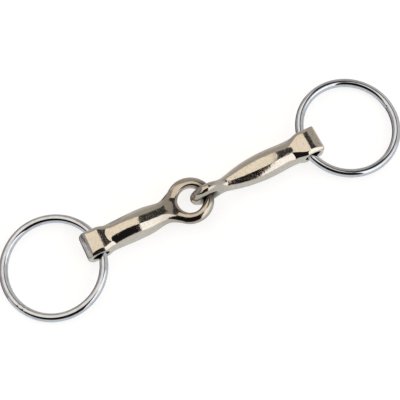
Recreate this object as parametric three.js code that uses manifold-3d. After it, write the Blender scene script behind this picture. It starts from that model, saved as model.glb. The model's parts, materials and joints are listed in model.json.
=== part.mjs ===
// Single-jointed loose-ring snaffle bit in pony size, lying as it would on a table.
//
// Millimetres, +Z up. The mouthpiece runs along X with the left ring at -X and the right
// ring at +X. The origin is under the middle of the whole bit, on the table.
//
// Four pieces, none of them fixed to another: two cannons that hook into each other eye
// through eye, and two welded wire rings that slide through a bore at the outer end of
// each cannon.
//
// Every piece is modelled in a frame of its own. A cannon has its bore centre at the
// origin, the bore along Y and the eye on +X. A ring has its centre at the origin and
// the cannon it belongs to on +X.

import * as THREE from "three";
import { ParametricGeometry } from "three/addons/geometries/ParametricGeometry.js";
import { mergeVertices } from "three/addons/utils/BufferGeometryUtils.js";
import Module from "manifold-3d";

const wasm = await Module();
wasm.setup();

// Rings: round wire, 55 mm over the outside.
const WIRE_DIAMETER = 4.4;
const RING_OUTSIDE = 55;
const RING_RADIUS = (RING_OUTSIDE - WIRE_DIAMETER) / 2;
const RING_SEGMENTS = 80;
const WIRE_SEGMENTS = 16;

// Bore through the butt of a cannon, with softened mouths.
const BORE_RADIUS = 4.3;
const BORE_HALF_LENGTH = 7.1;
const BORE_FLARE = 0.9;

// Butt: the block around the bore. Seen along the bore, its outer end is a blunt wedge,
// its top and underside are flat, and both slope down to the bar behind the bore.
const BUTT_OUTER_REACH = 6.9;
const BUTT_INNER_REACH = 5.2;
const BUTT_HALF_HEIGHT = 6.5;
const BUTT_END_HALF_HEIGHT = 2.4;
const BUTT_TOP_START = 3.8;
const BUTT_TOP_END = 2.2;
const BUTT_INNER_HALF_HEIGHT = 5.2;
const BUTT_CORNER = 0.9;
const BUTT_EDGE = 1.1;
const BUTT_HALF_WIDTH = 6.9;

// Eyes: round section. The one that stands on edge is the smaller.
const LEFT_EYE_RADIUS = 9.5;
const RIGHT_EYE_RADIUS = 6.5;
const EYE_WIRE_RADIUS = 2.8;

// Distance from the bore centre to the eye centre. The halves are not a pair: the right
// one has the longer bar and the smaller eye.
const LEFT_REACH = 51.7;
const RIGHT_REACH = 57.7;

// Mouthpiece: 119 mm from bore to bore.
const BORE_SPACING = 118.8;

// How the bit lies at rest, in degrees. The joint sags a little to the near side, and
// both cannons rise towards the eye that stands on edge.
const LEFT_YAW = -0.9;
const LEFT_PITCH = 2.2;
const RIGHT_YAW = 1.1;
const RIGHT_PITCH = 2.65;

// A ring lies slightly askew in its oversize bore, below the bore's centre, and slopes
// down to the table at its far side.
const LEFT_RING_SKEW = 3.1;
const RIGHT_RING_SKEW = -1.2;
const HINGE_TO_RING_CENTRE = 24.4;
const HINGE_INSET = 0.2;
const HINGE_DROP = 0.5;

const SECTION_SEGMENTS = 36;
const BODY_STEPS = 34;
const WELD_DISTANCE = 1e-5;

// Sections of each bar: distance from the bore, half width, half height. Both fall from
// the butt to a neck, swell to their thickest and taper towards the eye.
const LEFT_SECTIONS = [
  [-1.5, 6.4, 5.9],
  [0.8, 7.0, 6.35],
  [3.2, 7.5, 6.3],
  [5.6, 7.35, 5.95],
  [8.2, 7.0, 5.75],
  [11, 6.95, 6.1],
  [15, 7.1, 6.8],
  [18.5, 7.2, 7.05],
  [22, 7.25, 6.95],
  [26, 7.25, 6.45],
  [29.5, 7.0, 5.9],
  [32.5, 6.5, 5.3],
  [35.5, 5.9, 4.65],
  [38, 5.8, 4.0],
  [40, 6.3, 3.3],
  [42.6, 6.6, 2.2],
];
const RIGHT_SECTIONS = [
  [-1.5, 6.4, 5.9],
  [0.8, 7.0, 6.35],
  [3.2, 7.5, 6.3],
  [5.6, 7.4, 5.95],
  [8.2, 7.0, 5.8],
  [11, 6.75, 6.1],
  [15, 6.85, 6.85],
  [18.5, 7.05, 7.2],
  [23, 7.2, 7.2],
  [28, 7.2, 7.1],
  [33, 6.8, 6.95],
  [37, 6.3, 6.7],
  [41, 5.5, 6.3],
  [44, 4.75, 5.95],
  [47, 3.95, 5.6],
  [49.5, 3.3, 5.3],
  [51.4, 2.2, 4.6],
];

// The section is nearly a rounded square beside the bore and settles to a round one.
const BUTT_SQUARENESS = 4.2;
const BODY_SQUARENESS = 2.08;
const SQUARE_UNTIL = 2;
const ROUND_FROM = 12;

const CAST_NICKEL = { color: 0xb8b0a2, roughness: 0.2, metalness: 1 };
const CHROMED_WIRE = { color: 0xc3c9d1, roughness: 0.12, metalness: 1 };

const radians = THREE.MathUtils.degToRad;

// ---------------------------------------------------------------- solids

function toSolid(geometry) {
  const bare = geometry.index ? geometry.toNonIndexed() : geometry.clone();
  bare.deleteAttribute("normal");
  bare.deleteAttribute("uv");
  const welded = mergeVertices(bare, WELD_DISTANCE);
  const index = welded.index.array;
  const triangles = [];
  for (let i = 0; i < index.length; i += 3) {
    const [a, b, c] = [index[i], index[i + 1], index[i + 2]];
    if (a !== b && b !== c && c !== a) {
      triangles.push(a, b, c);
    }
  }
  return new wasm.Manifold(new wasm.Mesh({
    numProp: 3,
    vertProperties: Float32Array.from(welded.attributes.position.array),
    triVerts: Uint32Array.from(triangles),
  }));
}

function toGeometry(solid) {
  const mesh = solid.getMesh();
  const geometry = new THREE.BufferGeometry();
  geometry.setAttribute("position", new THREE.BufferAttribute(mesh.vertProperties, mesh.numProp));
  geometry.setIndex(new THREE.BufferAttribute(mesh.triVerts, 1));
  geometry.computeVertexNormals();
  return geometry;
}

// ---------------------------------------------------------------- cannon

// A closed outline with straight sides and rounded corners.
function roundedOutline(corners, radius) {
  const points = corners.map(([x, y]) => new THREE.Vector2(x, y));
  const outline = new THREE.Shape();
  points.forEach((corner, i) => {
    const before = points[(i + points.length - 1) % points.length];
    const after = points[(i + 1) % points.length];
    const start = before.clone().sub(corner).setLength(radius).add(corner);
    const end = after.clone().sub(corner).setLength(radius).add(corner);
    if (i === 0) {
      outline.moveTo(start.x, start.y);
    } else {
      outline.lineTo(start.x, start.y);
    }
    outline.quadraticCurveTo(corner.x, corner.y, end.x, end.y);
  });
  return outline;
}

// The block around the bore, its edges softened.
function buttSolid() {
  const half = [
    [BUTT_INNER_REACH, BUTT_INNER_HALF_HEIGHT],
    [BUTT_TOP_END, BUTT_HALF_HEIGHT],
    [-BUTT_TOP_START, BUTT_HALF_HEIGHT],
    [-BUTT_OUTER_REACH, BUTT_END_HALF_HEIGHT],
  ];
  const mirrored = half.map(([x, z]) => [x, -z]).reverse();
  const block = new THREE.ExtrudeGeometry(roundedOutline([...half, ...mirrored], BUTT_CORNER), {
    depth: 2 * (BUTT_HALF_WIDTH - BUTT_EDGE),
    bevelThickness: BUTT_EDGE,
    bevelSize: BUTT_EDGE,
    bevelOffset: -BUTT_EDGE,
    bevelSegments: 4,
    curveSegments: 4,
  });
  block.translate(0, 0, -(BUTT_HALF_WIDTH - BUTT_EDGE));
  block.rotateX(Math.PI / 2);
  return toSolid(block);
}

// A turned plug the shape of the bore, flaring at both mouths.
function boreSolid() {
  const beyond = BORE_HALF_LENGTH + 3;
  const profile = [new THREE.Vector2(0, -beyond)];
  profile.push(new THREE.Vector2(BORE_RADIUS + BORE_FLARE, -beyond));
  const flareSteps = 4;
  for (const side of [-1, 1]) {
    for (let i = 0; i <= flareSteps; i += 1) {
      const turn = (side < 0 ? i : flareSteps - i) / flareSteps * Math.PI / 2;
      const radius = BORE_RADIUS + BORE_FLARE * (1 - Math.sin(turn));
      const along = BORE_HALF_LENGTH - BORE_FLARE * (1 - Math.cos(turn));
      profile.push(new THREE.Vector2(radius, side * along));
    }
  }
  profile.push(new THREE.Vector2(BORE_RADIUS + BORE_FLARE, beyond));
  profile.push(new THREE.Vector2(0, beyond));
  return toSolid(new THREE.LatheGeometry(profile, 32));
}

// The sections along one cannon as a curve through (along, half width, half height).
function sectionCurve(sections) {
  return new THREE.CatmullRomCurve3(sections.map((section) => new THREE.Vector3(...section)));
}

function rounded(value, squareness) {
  return Math.sign(value) * Math.abs(value) ** (2 / squareness);
}

// The swelling bar between butt and eye, closed by a flat cap at each end.
function bodySolid(sections) {
  const curve = sectionCurve(sections);
  const cap = 1 / BODY_STEPS;
  const surface = (around, along, target) => {
    const section = curve.getPoint(THREE.MathUtils.clamp((along - cap) / (1 - 2 * cap), 0, 1));
    const isEnd = along < cap / 2 || along > 1 - cap / 2;
    const size = isEnd ? 0 : 1;
    const settled = THREE.MathUtils.smoothstep(section.x, SQUARE_UNTIL, ROUND_FROM);
    const squareness = THREE.MathUtils.lerp(BUTT_SQUARENESS, BODY_SQUARENESS, settled);
    const angle = around * 2 * Math.PI;
    target.x = section.x;
    target.y = size * section.y * rounded(Math.cos(angle), squareness);
    target.z = size * section.z * rounded(Math.sin(angle), squareness);
  };
  return toSolid(new ParametricGeometry(surface, SECTION_SEGMENTS, BODY_STEPS));
}

function eyeSolid(reach, eyeRadius, eyeUpright) {
  const eye = new THREE.TorusGeometry(eyeRadius, EYE_WIRE_RADIUS, 16, 44);
  if (eyeUpright) {
    eye.rotateX(Math.PI / 2);
  }
  eye.translate(reach, 0, 0);
  return toSolid(eye);
}

function cannonGeometry({ sections, reach, eyeRadius, eyeUpright }) {
  const body = bodySolid(sections);
  const eye = eyeSolid(reach, eyeRadius, eyeUpright);
  return toGeometry(buttSolid().add(body).add(eye).subtract(boreSolid()));
}

// ---------------------------------------------------------------- placing

// Height of a cannon's bore centre when its lowest point touches the table.
function boreHeight(cannon) {
  cannon.updateMatrixWorld(true);
  return -new THREE.Box3().setFromObject(cannon, true).min.z;
}

// Unit vector of a piece's own X axis for a turn about Z and a rise above the table.
function ownAxis(yaw, pitch) {
  return new THREE.Vector3(
    Math.cos(yaw) * Math.cos(pitch),
    Math.sin(yaw) * Math.cos(pitch),
    Math.sin(pitch),
  );
}

function place(mesh, position, yaw, pitch) {
  mesh.position.copy(position);
  mesh.rotation.set(0, -pitch, yaw, "ZYX");
}

function addSide(group, side) {
  const facing = side.name === "left" ? 0 : 180;
  const yaw = radians(side.yaw + facing);
  const pitch = radians(side.pitch);
  const boreX = side.name === "left" ? -BORE_SPACING / 2 : BORE_SPACING / 2;
  const bore = new THREE.Vector3(boreX, 0, 0);

  const cannon = new THREE.Mesh(
    cannonGeometry(side),
    new THREE.MeshStandardMaterial(CAST_NICKEL),
  );
  cannon.name = `${side.name}_cannon`;
  place(cannon, bore, yaw, pitch);
  bore.z = boreHeight(cannon);
  cannon.position.copy(bore);
  group.add(cannon);

  const hinge = bore.clone().addScaledVector(ownAxis(yaw, pitch), HINGE_INSET);
  hinge.z -= HINGE_DROP;
  const ringYaw = yaw + radians(side.ringSkew);
  const ringPitch = Math.asin((hinge.z - WIRE_DIAMETER / 2) / (HINGE_TO_RING_CENTRE + RING_RADIUS));
  const centre = hinge.clone().addScaledVector(ownAxis(ringYaw, ringPitch), -HINGE_TO_RING_CENTRE);
  const ring = new THREE.Mesh(
    new THREE.TorusGeometry(RING_RADIUS, WIRE_DIAMETER / 2, WIRE_SEGMENTS, RING_SEGMENTS),
    new THREE.MeshStandardMaterial(CHROMED_WIRE),
  );
  ring.name = `${side.name}_ring`;
  place(ring, centre, ringYaw, ringPitch);
  group.add(ring);
}

const SIDES = [
  {
    name: "left",
    sections: LEFT_SECTIONS,
    reach: LEFT_REACH,
    eyeRadius: LEFT_EYE_RADIUS,
    eyeUpright: false,
    yaw: LEFT_YAW,
    pitch: LEFT_PITCH,
    ringSkew: LEFT_RING_SKEW,
  },
  {
    name: "right",
    sections: RIGHT_SECTIONS,
    reach: RIGHT_REACH,
    eyeRadius: RIGHT_EYE_RADIUS,
    eyeUpright: true,
    yaw: RIGHT_YAW,
    pitch: RIGHT_PITCH,
    ringSkew: RIGHT_RING_SKEW,
  },
];

const bit = new THREE.Group();
bit.name = "snaffle_bit";
for (const side of SIDES) {
  addSide(bit, side);
}

// Put the origin under the middle of the bounding box.
bit.updateMatrixWorld(true);
const box = new THREE.Box3().setFromObject(bit, true);
const middle = box.getCenter(new THREE.Vector3());
for (const piece of bit.children) {
  piece.position.sub(new THREE.Vector3(middle.x, middle.y, box.min.z));
}

export default bit;
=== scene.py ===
import json
import math

import bpy
import numpy as np
from mathutils import Matrix, Vector


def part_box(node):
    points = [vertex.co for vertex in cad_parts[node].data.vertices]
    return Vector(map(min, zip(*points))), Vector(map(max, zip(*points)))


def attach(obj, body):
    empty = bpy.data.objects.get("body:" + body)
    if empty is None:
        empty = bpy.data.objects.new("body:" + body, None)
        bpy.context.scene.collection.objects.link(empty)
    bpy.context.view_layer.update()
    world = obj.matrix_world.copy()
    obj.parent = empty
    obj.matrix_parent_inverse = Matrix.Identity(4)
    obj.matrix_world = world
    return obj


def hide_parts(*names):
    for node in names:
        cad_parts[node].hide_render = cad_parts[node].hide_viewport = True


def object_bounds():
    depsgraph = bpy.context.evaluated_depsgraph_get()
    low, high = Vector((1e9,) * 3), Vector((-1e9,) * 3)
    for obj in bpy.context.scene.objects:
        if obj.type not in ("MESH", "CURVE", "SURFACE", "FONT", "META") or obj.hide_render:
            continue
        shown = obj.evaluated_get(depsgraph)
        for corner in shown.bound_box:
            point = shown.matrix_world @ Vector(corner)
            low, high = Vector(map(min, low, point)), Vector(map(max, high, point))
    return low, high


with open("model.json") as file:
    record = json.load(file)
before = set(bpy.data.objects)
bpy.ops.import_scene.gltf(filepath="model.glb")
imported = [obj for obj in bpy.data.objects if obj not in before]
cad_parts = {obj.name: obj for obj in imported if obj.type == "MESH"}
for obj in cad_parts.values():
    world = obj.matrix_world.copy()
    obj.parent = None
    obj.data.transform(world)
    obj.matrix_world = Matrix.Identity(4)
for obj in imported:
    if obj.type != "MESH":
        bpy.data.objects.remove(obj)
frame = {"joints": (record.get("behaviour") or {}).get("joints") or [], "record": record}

cad_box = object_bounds()
MM = 0.001

# ------------------------------------------------------------------ sizes, in mm

# Rings. A weld is a shallow groove on each side of a narrow bead.
WIRE_RADIUS = 2.2
RING_RADIUS = 25.3
WELD_DEPTH = 0.10
WELD_HALF_WIDTH = 1.5
WELD_GROOVE_WIDTH = 0.45

# Bore through the butt of each cannon, its mouths rounded over.
BORE_RADIUS = 4.3
BORE_MOUTH = 0.9

# Butts. A facet is given by where it starts, its height there and how steeply it falls from
# there. The fan is the part of the butt's top that slopes down to the bar.
BUTT_OUTER_REACH = 6.9
BUTT_INNER_REACH = 12.0
BUTT_HALF_WIDTH = 6.9
BUTT_CORNER = 2.0
BUTT_EDGE = 0.17
OUTER_FACETS = [(1.7, 6.41, 0.20), (0.2, 6.5, 0.06)]
INNER_FACET = (1.8, 6.5, 0.10)
SIDE_BEVEL = (5.0, 6.4, 0.72)
FAN_START = 3.0
FAN_HEIGHT = 6.38
FAN_HALF_WIDTH = 7.2
FAN_TAPER = 0.30
FAN_CHAMFER = (0.45, 0.65, 1.0)
FAN_CHAMFER_REACH = 11.14

# Bars. Distance from the bore, half width, half height, squareness.
LEFT_SECTIONS = [
    (-2.0, 5.9, 3.6, 2.0),
    (1.0, 6.7, 4.0, 2.0),
    (3.2, 7.2, 4.3, 2.0),
    (5.6, 7.2, 4.8, 2.0),
    (7.0, 7.0, 5.6, 2.0),
    (9.0, 6.95, 5.95, 2.0),
    (13.5, 7.05, 6.6, 2.0),
    (17.0, 7.2, 7.1, 2.0),
    (20.0, 7.25, 7.25, 2.0),
    (23.0, 7.3, 7.1, 2.0),
    (26.0, 7.3, 6.6, 2.0),
    (29.5, 7.05, 5.93, 2.0),
    (32.5, 6.55, 5.37, 2.0),
    (35.5, 6.0, 4.8, 2.05),
    (38.0, 5.9, 4.25, 2.2),
    (40.0, 6.3, 3.68, 2.4),
    (42.6, 7.1, 2.75, 2.5),
    (46.0, 6.5, 1.5, 2.3),
    (49.5, 4.8, 0.7, 2.0),
]
RIGHT_SECTIONS = [
    (-2.0, 5.9, 3.6, 2.0),
    (1.0, 6.7, 4.0, 2.0),
    (3.2, 7.2, 4.2, 2.0),
    (5.6, 7.1, 4.3, 2.0),
    (8.2, 6.85, 4.9, 2.0),
    (10.0, 6.75, 5.5, 2.0),
    (13.5, 6.75, 5.82, 2.0),
    (17.0, 6.95, 6.02, 2.05),
    (20.0, 7.1, 5.97, 2.1),
    (24.0, 7.2, 5.8, 2.1),
    (28.0, 7.1, 5.55, 2.1),
    (33.0, 6.7, 5.2, 2.05),
    (37.0, 6.15, 4.95, 2.05),
    (41.0, 5.35, 4.75, 2.0),
    (44.0, 4.6, 4.65, 2.0),
    (47.0, 3.85, 4.6, 2.0),
    (49.5, 3.3, 4.6, 2.0),
    (51.4, 2.6, 4.7, 2.0),
]
SECTION_STEP = 0.05
SECTION_SMOOTHING = 22

# Eyes of round wire. Near the neck the wire's crest is shifted in towards the hole, which
# leaves a long slope outside it and a short one inside, and the wire is lower there.
EYE_WIRE_RADIUS = 2.8
SHIFT_MEAN = 0.7
SHIFT_TO_FAR_SIDE = 0.3
SHIFT_NARROWS_INSIDE = 0.8
SHIFT_LOWERS = 0.9
SHIFT_STRAIGHTENS = 0.36

# Flats on the tip of the upright eye: degrees from upright to the tip, degrees to the side.
TIP_FLATS = [(31, 0), (62, 0), (48, 38)]
TIP_EDGE = 0.12

# How far the parts of a cannon run into each other.
BUTT_BLEND = 0.8
EYE_BLEND = 2.4
HOLE_ROUNDING = 0.8

# The space searched for the surface of a cannon, and how finely.
GRID_OUTER_REACH = 8.0
GRID_HALF_WIDTH = 8.8
GRID_MARGIN = 1.0
CELL = 0.36

# The two halves aren't a pair. "wedge" is the facet at the butt's outer end.
SIDES = {
    "left": {
        "sections": LEFT_SECTIONS,
        "reach": 51.7,
        "eye_radius": 9.5,
        "crest_shift": 2.2,
        "tip_flat_depth": None,
        "hole_radius": 6.35,
        "wedge": (3.5, 6.05, 1.15),
        "fan_slope": 0.25,
        "upright": False,
        "weld_angle": 205,
    },
    "right": {
        "sections": RIGHT_SECTIONS,
        "reach": 57.7,
        "eye_radius": 6.5,
        "crest_shift": 0.3,
        "tip_flat_depth": 0.3,
        "hole_radius": 3.5,
        "wedge": (5.7, 5.6, 2.6),
        "fan_slope": 0.13,
        "upright": True,
        "weld_angle": 180,
    },
}


# ------------------------------------------------------------------ frames of the pieces

def named(group, name):
    return next(item for item in frame["record"][group] if item["name"] == name)


def joint(name):
    return next(item for item in frame["joints"] if item["name"] == name)


def matrix_from(x_axis, y_axis, z_axis, origin):
    matrix = Matrix((x_axis, y_axis, z_axis)).transposed().to_4x4()
    matrix.translation = origin
    return matrix


def cannon_matrix(side):
    """The cannon's own frame: bore centre at the origin, bore along Y, eye on +X."""
    end = named("mounts", f"{side}_butt_end")
    under = named("mounts", f"{side}_butt_underside")
    x_axis = -Vector(end["axis"]).normalized()
    z_axis = -Vector(under["axis"]).normalized()
    y_axis = z_axis.cross(x_axis).normalized()
    origin = Vector(end["pos_m"]) + x_axis * BUTT_OUTER_REACH * MM
    return matrix_from(x_axis, y_axis, z_axis, origin)


def contact_point():
    """Where the upright eye bears on the wire of the flat one."""
    flat = SIDES["left"]
    along = flat["reach"] + flat["eye_radius"]
    return cannon_matrix("left") @ Vector((along * MM, 0, 0))


def ring_matrix(side):
    """The ring's own frame: centre at the origin, the cannon on +X."""
    low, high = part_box(f"{side}_ring")
    centre = (low + high) / 2
    swing = joint(f"{side}_ring_swing")
    y_axis = Vector(swing["axis"]).normalized()
    x_axis = (Vector(swing["pos_m"]) - centre).normalized()
    z_axis = x_axis.cross(y_axis).normalized()
    return matrix_from(x_axis, y_axis, z_axis, centre)


# ------------------------------------------------------------------ distance fields, in mm

def smooth_steps(values, spread):
    """Rounds off the corners of an evenly sampled line."""
    half = 3 * spread
    offsets = np.arange(-half, half + 1)
    weights = np.exp(-0.5 * (offsets / spread) ** 2)
    weights /= weights.sum()
    padded = np.pad(values, half, mode="edge")
    return np.convolve(padded, weights, mode="valid")


def section_lines(shape):
    """Half width, half height and squareness along the cannon as smooth lookups."""
    rows = np.array(shape["sections"])
    along = np.arange(rows[0, 0], rows[-1, 0], SECTION_STEP)
    sampled = [np.interp(along, rows[:, 0], rows[:, column]) for column in (1, 2, 3)]
    return along, [smooth_steps(line, SECTION_SMOOTHING) for line in sampled]


def smooth_union(a, b, reach):
    blend = np.clip(0.5 + 0.5 * (b - a) / reach, 0, 1)
    return b + (a - b) * blend - reach * blend * (1 - blend)


def smooth_cut(a, b, reach):
    """a with b taken away."""
    return -smooth_union(-a, b, reach)


def round_corner(a, b, reach):
    """Inside both a and b, the corner between them rounded."""
    return smooth_cut(a, -b, reach)


def soft_planes(distances, softness):
    """A convex block bounded by planes, its edges softened."""
    stacked = np.stack(distances) / softness
    top = stacked.max(axis=0)
    return softness * (top + np.log(np.exp(stacked - top).sum(axis=0)))


def facet(height, distance, start, from_height, slope):
    """Distance above a plane that has from_height at start and falls by slope beyond it."""
    return (height - from_height + slope * (distance - start)) / math.hypot(1, slope)


def butt_field(p, shape):
    """The block round the bore, the same above and below and on both sides."""
    x, y, z = p[:, 0], np.abs(p[:, 1]), np.abs(p[:, 2])
    chamfer = sum(part * value for part, value in zip(FAN_CHAMFER, (x, y, z)))
    return soft_planes(
        [
            round_corner(-BUTT_OUTER_REACH - x, y - BUTT_HALF_WIDTH, BUTT_CORNER),
            facet(z, -x, *shape["wedge"]),
            *[facet(z, -x, *outer) for outer in OUTER_FACETS],
            facet(z, x, *INNER_FACET),
            facet(z, x, FAN_START, FAN_HEIGHT, shape["fan_slope"]),
            facet(y, x, FAN_START, FAN_HALF_WIDTH, FAN_TAPER),
            facet(z, y, *SIDE_BEVEL),
            (chamfer - FAN_CHAMFER_REACH) / math.hypot(*FAN_CHAMFER),
            x - BUTT_INNER_REACH,
        ],
        BUTT_EDGE,
    )


def body_field(p, along, lines):
    """The swelling bar, a superellipse at every section."""
    off_axis = 1e-6
    least_steepness = 0.02
    x, y, z = p[:, 0], np.abs(p[:, 1]) + off_axis, np.abs(p[:, 2]) + off_axis
    width, height, square = (np.interp(x, along, line) for line in lines)
    sum_of_powers = (y / width) ** square + (z / height) ** square
    level = sum_of_powers ** (1 / square)
    slope_y = (y / width) ** (square - 1) / width
    slope_z = (z / height) ** (square - 1) / height
    steepness = np.sqrt(slope_y ** 2 + slope_z ** 2) * level ** (1 - square)
    side = (level - 1) / np.maximum(steepness, least_steepness)
    ends = np.maximum(along[0] - x, x - along[-1])
    return np.maximum(side, ends)


def tip_flats(x, across, through, reach):
    """Planes that take a little off the tip of an eye."""
    for lean, aside in TIP_FLATS:
        lean, aside = math.radians(lean), math.radians(aside)
        facing = x * math.sin(lean) + np.abs(across) * math.cos(lean) - reach
        bulge = EYE_WIRE_RADIUS * (1 - math.cos(aside))
        yield facing * math.cos(aside) + np.abs(through) * math.sin(aside) - bulge


def eye_field(p, shape):
    x = p[:, 0] - shape["reach"]
    across, through = (p[:, 2], p[:, 1]) if shape["upright"] else (p[:, 1], p[:, 2])
    from_centre = np.hypot(x, across)
    towards_tip = 0.5 + 0.5 * x / np.maximum(from_centre, 0.1)
    far_side = SHIFT_MEAN + SHIFT_TO_FAR_SIDE * across / np.maximum(from_centre, 0.1)
    shift = shape["crest_shift"] * far_side * (1 - towards_tip ** 2)
    from_crest = from_centre - shape["eye_radius"] + shift
    outside = from_crest > 0
    half_width = EYE_WIRE_RADIUS + shift * np.where(outside, 1.0, -SHIFT_NARROWS_INSIDE)
    half_height = EYE_WIRE_RADIUS - SHIFT_LOWERS * shift * (1 - towards_tip) ** 2
    power = 2 - SHIFT_STRAIGHTENS * np.where(outside, shift, 0.0)
    level = (np.abs(from_crest) / half_width) ** power + (np.abs(through) / half_height) ** power
    wire = ((level + 1e-9) ** (1 / power) - 1) * half_height
    if shape["tip_flat_depth"] is None:
        return wire
    tip_reach = shape["eye_radius"] + EYE_WIRE_RADIUS - shape["tip_flat_depth"]
    return soft_planes([wire, *tip_flats(x, across, through, tip_reach)], TIP_EDGE)


def cannon_field(p, shape, along, lines):
    solid = smooth_union(body_field(p, along, lines), butt_field(p, shape), BUTT_BLEND)
    solid = smooth_union(solid, eye_field(p, shape), EYE_BLEND)
    across = p[:, 2 if shape["upright"] else 1]
    hole = np.hypot(p[:, 0] - shape["reach"], across) - shape["hole_radius"]
    solid = smooth_cut(solid, hole, HOLE_ROUNDING)
    bore = np.hypot(p[:, 0], p[:, 2]) - BORE_RADIUS
    return smooth_cut(solid, bore, BORE_MOUTH)


# ------------------------------------------------------------------ surface from a field

CORNERS = [(i, j, k) for i in (0, 1) for j in (0, 1) for k in (0, 1)]


def corner_view(grid, corner):
    """The grid's values at one corner of every cell."""
    i, j, k = corner
    nx, ny, nz = grid.shape
    return grid[i:nx - 1 + i, j:ny - 1 + j, k:nz - 1 + k]


def net_vertices(grid):
    """One vertex in each cell that the surface crosses, at the mean of its edge crossings."""
    shape = tuple(n - 1 for n in grid.shape)
    total = np.zeros(shape + (3,))
    count = np.zeros(shape)
    for a in CORNERS:
        for axis in range(3):
            if a[axis]:
                continue
            b = tuple(1 if n == axis else a[n] for n in range(3))
            fa, fb = corner_view(grid, a), corner_view(grid, b)
            crossed = (fa < 0) != (fb < 0)
            part = np.where(crossed, fa / np.where(crossed, fa - fb, 1), 0)
            for n in range(3):
                total[..., n] += crossed * (a[n] + (part if n == axis else 0))
            count += crossed
    used = count > 0
    number = np.full(shape, -1)
    number[used] = np.arange(used.sum())
    cell = np.argwhere(used)
    return cell + total[used] / count[used][:, None], number


def net_faces(grid, number):
    """A quad round each grid edge that the surface crosses."""
    faces = []
    for axis in range(3):
        low = np.take(grid, range(grid.shape[axis] - 1), axis) < 0
        high = np.take(grid, range(1, grid.shape[axis]), axis) < 0
        at = np.argwhere(low != high)
        u, v = (axis + 1) % 3, (axis + 2) % 3
        at = at[(at[:, u] > 0) & (at[:, v] > 0)]
        at = at[(at[:, u] < number.shape[u]) & (at[:, v] < number.shape[v])]
        outward = low[tuple(at.T)]
        corners = []
        for du, dv in ((1, 1), (0, 1), (0, 0), (1, 0)):
            cell = at.copy()
            cell[:, u] -= du
            cell[:, v] -= dv
            corners.append(number[tuple(cell.T)])
        quads = np.stack(corners, axis=1)
        quads[~outward] = quads[~outward][:, ::-1]
        faces.append(quads)
    return np.concatenate(faces)


def gradient(field, p, step=0.02):
    parts = []
    for n in range(3):
        offset = np.zeros(3)
        offset[n] = step
        parts.append((field(p + offset) - field(p - offset)) / (2 * step))
    return np.stack(parts, axis=1)


def onto_surface(field, p, rounds, least_slope=0.05):
    """Moves the vertices down the field's slope until they lie on the surface."""
    for _ in range(rounds):
        slope = gradient(field, p)
        size = np.maximum((slope ** 2).sum(axis=1), least_slope)
        p = p - slope * (field(p) / size)[:, None]
    return p


def even_out(field, p, faces, rounds, pull=0.6):
    """Slides the vertices along the surface until they're evenly spread."""
    start = faces[:, [0, 1, 2, 3]].ravel()
    end = faces[:, [1, 2, 3, 0]].ravel()
    degree = np.bincount(start, minlength=len(p)).astype(float)
    for _ in range(rounds):
        mean = np.stack(
            [np.bincount(start, weights=p[end, n], minlength=len(p)) for n in range(3)], axis=1
        )
        mean /= np.maximum(degree, 1)[:, None]
        p = onto_surface(field, p + pull * (mean - p), 1)
    return onto_surface(field, p, 2)


def add_piece(name, p, faces, matrix, normals=None):
    """An object from points in mm in a piece's own frame."""
    rotation = np.array(matrix.to_3x3())
    world = p * MM @ rotation.T + np.array(matrix.translation)
    mesh = bpy.data.meshes.new(name)
    mesh.from_pydata(world.tolist(), [], faces.tolist())
    mesh.validate()
    mesh.polygons.foreach_set("use_smooth", [True] * len(mesh.polygons))
    if normals is not None:
        mesh.normals_split_custom_set_from_vertices((normals @ rotation.T).tolist())
    mesh.update()
    piece = bpy.data.objects.new(name, mesh)
    bpy.context.scene.collection.objects.link(piece)
    return piece


def field_piece(name, field, low, high, matrix):
    axes = [np.arange(a, b + CELL, CELL) for a, b in zip(low, high)]
    grid_points = np.stack(np.meshgrid(*axes, indexing="ij"), axis=-1)
    grid = field(grid_points.reshape(-1, 3)).reshape(grid_points.shape[:3])
    p, number = net_vertices(grid)
    faces = net_faces(grid, number)
    p = np.array(low) + p * CELL
    p = even_out(field, onto_surface(field, p, 3), faces, 6)
    normals = gradient(field, p)
    normals /= np.linalg.norm(normals, axis=1)[:, None]
    return add_piece(name, p, faces, matrix, normals)


# ------------------------------------------------------------------ pieces

def make_cannon(side):
    shape = SIDES[side]
    along, lines = section_lines(shape)

    def field(p):
        return cannon_field(p, shape, along, lines)

    past_eye = shape["eye_radius"] + EYE_WIRE_RADIUS + GRID_MARGIN
    low = [-GRID_OUTER_REACH, -GRID_HALF_WIDTH, -GRID_HALF_WIDTH]
    high = [shape["reach"] + past_eye, GRID_HALF_WIDTH, GRID_HALF_WIDTH]
    across = 2 if shape["upright"] else 1
    low[across], high[across] = -past_eye, past_eye
    return field_piece(f"{side}_cannon_casting", field, low, high, cannon_matrix(side))


def make_ring(side):
    around, section = ((360, 40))
    angle = np.linspace(0, 2 * math.pi, around, endpoint=False)
    weld_angle = math.radians(SIDES[side]["weld_angle"])
    from_weld = ((angle - weld_angle + math.pi) % (2 * math.pi) - math.pi) * RING_RADIUS
    groove = np.exp(-((np.abs(from_weld) - WELD_HALF_WIDTH) / WELD_GROOVE_WIDTH) ** 2)
    radius = (WIRE_RADIUS - WELD_DEPTH * groove)[:, None]
    turn = np.linspace(0, 2 * math.pi, section, endpoint=False)
    a, t = np.meshgrid(angle, turn, indexing="ij")
    out = RING_RADIUS + radius * np.cos(t)
    p = np.stack([out * np.cos(a), out * np.sin(a), radius * np.sin(t)], axis=-1).reshape(-1, 3)
    here = np.arange(around * section).reshape(around, section)
    ahead = np.roll(here, -1, 0)
    corners = [here, ahead, np.roll(ahead, -1, 1), np.roll(here, -1, 1)]
    faces = np.stack(corners, axis=-1).reshape(-1, 4)
    return add_piece(f"{side}_ring_wire", p, faces, ring_matrix(side))


# ------------------------------------------------------------------ materials

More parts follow.
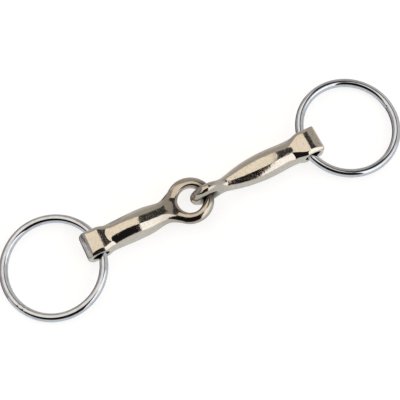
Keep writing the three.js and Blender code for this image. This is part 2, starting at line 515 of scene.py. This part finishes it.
class Nodes:
    """Short calls for wiring a node tree."""

    def __init__(self, tree):
        self.tree = tree
        tree.nodes.clear()

    def add(self, kind, inputs=None, **settings):
        node = self.tree.nodes.new(kind)
        for name, value in settings.items():
            setattr(node, name, value)
        for socket, value in (inputs or {}).items():
            target = node.inputs[socket]
            if isinstance(value, bpy.types.NodeSocket):
                self.tree.links.new(value, target)
            else:
                target.default_value = value
        return node

    def math(self, operation, a, b=0.0, c=0.0):
        return self.add("ShaderNodeMath", {0: a, 1: b, 2: c}, operation=operation).outputs[0]

    def product(self, first, *others):
        for other in others:
            first = self.math("MULTIPLY", first, other)
        return first

    def ramp(self, value, low, high, out_low=0.0, out_high=1.0):
        inputs = {
            "Value": value,
            "From Min": low,
            "From Max": high,
            "To Min": out_low,
            "To Max": out_high,
        }
        node = self.add("ShaderNodeMapRange", inputs, interpolation_type="SMOOTHSTEP")
        return node.outputs["Result"]

    def above(self, value, edge):
        return self.ramp(value, *edge)

    def below(self, value, edge):
        return self.ramp(value, *edge, 1, 0)

    def mix(self, factor, a, b):
        return self.add("ShaderNodeMix", {0: factor, 6: a, 7: b}, data_type="RGBA").outputs[2]

    def noise(self, vector, scale, detail, roughness):
        inputs = {"Vector": vector, "Scale": scale, "Detail": detail, "Roughness": roughness}
        return self.add("ShaderNodeTexNoise", inputs).outputs["Fac"]

    def distance(self, place, point):
        inputs = {0: place, 1: tuple(point)}
        node = self.add("ShaderNodeVectorMath", inputs, operation="DISTANCE")
        return node.outputs["Value"]


def new_material(name):
    material = bpy.data.materials.new(name)
    material.use_nodes = True
    return material, Nodes(material.node_tree)


def finish_metal(n, colour, rough, height, bump_strength, bump_distance):
    """The last nodes of a bare metal, its surface roughened by height."""
    bump = n.add(
        "ShaderNodeBump",
        {"Height": height, "Strength": bump_strength, "Distance": bump_distance},
    )
    shader = n.add(
        "ShaderNodeBsdfPrincipled",
        {"Base Color": colour, "Metallic": 1.0, "Roughness": rough, "Normal": bump.outputs[0]},
    )
    n.add("ShaderNodeOutputMaterial", {"Surface": shader.outputs[0]})


def nickel_material():
    """A polished casting, darkened near the joint by tarnish and painted shade, with painted
    shade, nearly black, where the eyes bear.
    """
    bright = (0.80, 0.76, 0.70, 1)
    stained = (0.76, 0.715, 0.65, 1)
    mottled = (0.62, 0.57, 0.50, 1)
    # The next colour is partly tarnish and partly painted shade, laid on round the joint.
    tarnish_and_shade = (0.50, 0.45, 0.385, 1)
    # The next colour is painted shade, nearly black, for where the eyes bear on each other.
    painted_contact_shade = (0.07, 0.06, 0.055, 1)
    pitted = (0.30, 0.26, 0.22, 1)
    tarnish_and_shade_reach = (10 * MM, 24 * MM)
    contact_shade_reach = (3.8 * MM, 7.8 * MM)

    material, n = new_material("polished_nickel_casting")
    place = n.add("ShaderNodeTexCoord").outputs["Object"]
    pits = n.noise(place, 2600, 2, 0.6)
    orange_peel = n.noise(place, 700, 2, 0.5)
    ripple = n.noise(place, 160, 2, 0.45)
    stains = n.noise(place, 90, 4, 0.6)
    pit_depth = n.ramp(pits, 0.60, 0.75)

    colour = n.mix(n.ramp(stains, 0.35, 0.7), bright, stained)
    colour = n.mix(n.ramp(orange_peel, 0.35, 0.7, 0, 0.4), colour, mottled)
    # Darker towards the joint: partly tarnish, partly painted shade where the joint would be in
    # shade.
    from_joint = n.distance(place, joint("centre_fold")["pos_m"])
    tarnish_and_shade_mask = n.ramp(from_joint, *tarnish_and_shade_reach, 0.7, 0)
    colour = n.mix(n.product(tarnish_and_shade_mask, n.ramp(stains, 0.2, 0.6, 0.6, 1)), colour, tarnish_and_shade)
    # Painted shade, nearly black, round where the upright eye bears on the flat one's wire.
    from_contact = n.distance(place, contact_point())
    colour = n.mix(n.ramp(from_contact, *contact_shade_reach, 0.85, 0), colour, painted_contact_shade)
    colour = n.mix(n.product(pit_depth, 0.4), colour, pitted)

    rough = n.math("ADD", n.ramp(stains, 0.3, 0.75, 0.05, 0.12), n.product(pit_depth, 0.12))
    height = n.math("MULTIPLY_ADD", ripple, 2.0, n.product(orange_peel, 0.55))
    height = n.math("MULTIPLY_ADD", pit_depth, -0.25, height)
    finish_metal(n, colour, rough, height, 0.42, 0.09 * MM)
    return material


def chrome_material():
    """Bright plated wire with a little haze and a few specks."""
    bright = (0.76, 0.80, 0.88, 1)
    hazy = (0.62, 0.66, 0.73, 1)
    speck = (0.25, 0.22, 0.2, 1)

    material, n = new_material("bright_chrome_wire")
    place = n.add("ShaderNodeTexCoord").outputs["Object"]
    ripple = n.noise(place, 130, 2, 0.5)
    haze = n.noise(place, 260, 4, 0.6)
    specks = n.ramp(n.noise(place, 1900, 2, 0.6), 0.66, 0.78)
    colour = n.mix(n.ramp(haze, 0.4, 0.75), bright, hazy)
    colour = n.mix(n.product(specks, 0.5), colour, speck)
    rough = n.ramp(haze, 0.35, 0.75, 0.02, 0.07)
    height = n.math("MULTIPLY_ADD", ripple, 1.2, n.product(haze, 0.2))
    finish_metal(n, colour, rough, height, 0.25, 0.08 * MM)
    return material


def floor_material():
    """A pale sheet, lit a little from behind so that it comes out nearly white."""
    material, n = new_material("pale_floor")
    place = n.add("ShaderNodeTexCoord").outputs["Object"]
    grain = n.noise(place, 60, 4, 0.6)
    shader = n.add(
        "ShaderNodeBsdfPrincipled",
        {
            "Base Color": n.mix(grain, (0.60, 0.61, 0.63, 1), (0.63, 0.64, 0.66, 1)),
            "Roughness": 0.7,
            "Emission Color": (1, 1, 1, 1),
            "Emission Strength": 0.72,
        },
    )
    n.add("ShaderNodeOutputMaterial", {"Surface": shader.outputs[0]})
    return material


# ------------------------------------------------------------------ camera and studio

VIEW_TURN = math.radians(26.28)
VIEW_ELEVATION = math.radians(72.25)
VIEW_DISTANCE = 0.6456
VIEW_SHIFT = (1.7 * MM, 0.62 * MM)
LENS = 113.8
SENSOR_WIDTH = 36

FLOOR_HALF_SIZE = 40.0
FLOOR_GAP = 0.1 * MM

SOFTBOX = (1.0, 0.90, 0.75, 1)
WALL = (0.41, 0.375, 0.33, 1)
LOW_WALL = (0.54, 0.53, 0.52, 1)
LEFT_WALL = (0.36, 0.34, 0.36, 1)
LOW_LEFT_WALL = (0.10, 0.085, 0.08, 1)
RIGHT_WALL = (0.60, 0.58, 0.55, 1)
CHARCOAL = (0.038, 0.038, 0.038, 1)
BLACK = (0.012, 0.010, 0.010, 1)
BROWN = (0.13, 0.05, 0.04, 1)
WHITE = (1.25, 1.22, 1.17, 1)
GROUND = (0.65, 0.655, 0.64, 1)

# Soft edges of the studio's panels, in degrees from straight up: u to the right, v away from
# the viewer, down in any direction. The slanted ones are edges in a sum of u and v.
RIGHT_WALL_U = (28, 37)
LEFT_WALL_U = (-52, -46)
LOW_WALL_DOWN = (75, 110)
LOW_LEFT_U = (-62, -50)
LOW_LEFT_DOWN = (104, 116)
CHARCOAL_SLANT = 1.2
CHARCOAL_FAR = (52.5, 56)
CHARCOAL_RIGHT_U = (23, 27)
SOFTBOX_SLANT = 0.42
SOFTBOX_RIGHT = (15, 17.5)
SOFTBOX_LEFT_U = (-50, -44)
PANELS_FAR_V = (46, 52)
NEAR_SLANT = -0.25
NEAR_SIDE = (-8.5, -5)
VIEWER_SLANT = 0.4
VIEWER_BROWN = (12, 14)
VIEWER_WHITE = (14, 17)
GROUND_DOWN = (66, 76)


def turned(x, y, z=0.0):
    """From the camera's ground directions (right, away) to the part's X and Y."""
    c, s = math.cos(VIEW_TURN), math.sin(VIEW_TURN)
    return Vector((x * c + y * s, -x * s + y * c, z))


def make_camera():
    camera = bpy.data.objects.new("camera", bpy.data.cameras.new("camera"))
    bpy.context.scene.collection.objects.link(camera)
    aim = turned(-VIEW_SHIFT[0], -VIEW_SHIFT[1])
    back = turned(0, -math.cos(VIEW_ELEVATION), math.sin(VIEW_ELEVATION))
    camera.location = aim + back * VIEW_DISTANCE
    camera.rotation_mode = "QUATERNION"
    camera.rotation_quaternion = (-back).to_track_quat("-Z", "Y")
    camera.data.lens = LENS
    camera.data.sensor_width = SENSOR_WIDTH
    camera.data.clip_start = 0.01
    camera.data.clip_end = 20
    camera.data.dof.use_dof = False
    bpy.context.scene.camera = camera


def studio_directions(n):
    """Degrees from straight up: to the right, away, and in any direction."""
    place = n.add("ShaderNodeTexCoord").outputs["Generated"]
    aligned = n.add(
        "ShaderNodeVectorRotate",
        {"Vector": place, "Axis": (0, 0, 1), "Angle": VIEW_TURN},
        rotation_type="AXIS_ANGLE",
    ).outputs[0]
    x, y, z = n.add("ShaderNodeSeparateXYZ", {0: aligned}).outputs
    down = n.product(n.math("ARCCOSINE", z), 180 / math.pi)
    across = n.math("SQRT", n.math("ADD", n.product(x, x), n.product(y, y)))
    scale = n.math("DIVIDE", down, n.math("MAXIMUM", across, 1e-4))
    return n.product(x, scale), n.product(y, scale), down


def viewer_side(n, u, v, down):
    """The near side of the studio: dark on the left, white on the right, ground below."""
    aside = n.math("MULTIPLY_ADD", v, VIEWER_SLANT, u)
    colour = n.mix(n.above(aside, VIEWER_BROWN), BLACK, BROWN)
    colour = n.mix(n.above(aside, VIEWER_WHITE), colour, WHITE)
    return n.mix(n.above(down, GROUND_DOWN), colour, GROUND)


def make_world():
    """A studio round the bit: walls, a warm softbox overhead and a dark panel beside it."""
    world = bpy.data.worlds.new("studio")
    bpy.context.scene.world = world
    world.use_nodes = True
    n = Nodes(world.node_tree)
    u, v, down = studio_directions(n)

    colour = n.mix(n.above(u, RIGHT_WALL_U), WALL, RIGHT_WALL)
    colour = n.mix(n.above(down, LOW_WALL_DOWN), colour, LOW_WALL)

    dark = n.product(
        n.below(n.math("MULTIPLY_ADD", u, CHARCOAL_SLANT, v), CHARCOAL_FAR),
        n.below(u, CHARCOAL_RIGHT_U),
        n.below(v, PANELS_FAR_V),
    )
    colour = n.mix(dark, colour, CHARCOAL)

    lit = n.product(
        n.below(n.math("MULTIPLY_ADD", v, SOFTBOX_SLANT, u), SOFTBOX_RIGHT),
        n.below(v, PANELS_FAR_V),
        n.above(u, SOFTBOX_LEFT_U),
    )
    colour = n.mix(lit, colour, SOFTBOX)

    colour = n.mix(n.below(u, LEFT_WALL_U), colour, LEFT_WALL)
    low_left = n.product(n.below(u, LOW_LEFT_U), n.above(down, LOW_LEFT_DOWN))
    colour = n.mix(low_left, colour, LOW_LEFT_WALL)

    near = n.below(n.math("MULTIPLY_ADD", u, NEAR_SLANT, v), NEAR_SIDE)
    colour = n.mix(near, colour, viewer_side(n, u, v, down))
    background = n.add("ShaderNodeBackground", {"Color": colour, "Strength": 1.0})
    n.add("ShaderNodeOutputWorld", {"Surface": background.outputs[0]})


def make_floor():
    """A plain sheet under the bit. The metal mirrors the studio, not the floor."""
    mesh = bpy.data.meshes.new("floor")
    half = FLOOR_HALF_SIZE
    corners = [(-half, -half, 0), (half, -half, 0), (half, half, 0), (-half, half, 0)]
    mesh.from_pydata(corners, [], [(0, 1, 2, 3)])
    floor = bpy.data.objects.new("floor", mesh)
    floor.location.z = cad_box[0].z - FLOOR_GAP
    bpy.context.scene.collection.objects.link(floor)
    mesh.materials.append(floor_material())
    floor.visible_glossy = False


def set_view_transform():
    settings = bpy.context.scene.view_settings
    settings.view_transform = "Standard"
    settings.look = "None"
    settings.exposure = 0.0


# ------------------------------------------------------------------ put together

nickel = nickel_material()
chrome = chrome_material()
for side in SIDES:
    cannon = make_cannon(side)
    cannon.data.materials.append(nickel)
    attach(cannon, f"{side}_cannon")
    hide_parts(f"{side}_cannon")
    ring = make_ring(side)
    ring.data.materials.append(chrome)
    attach(ring, f"{side}_ring")
    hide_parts(f"{side}_ring")

make_floor()
make_world()
set_view_transform()
make_camera()
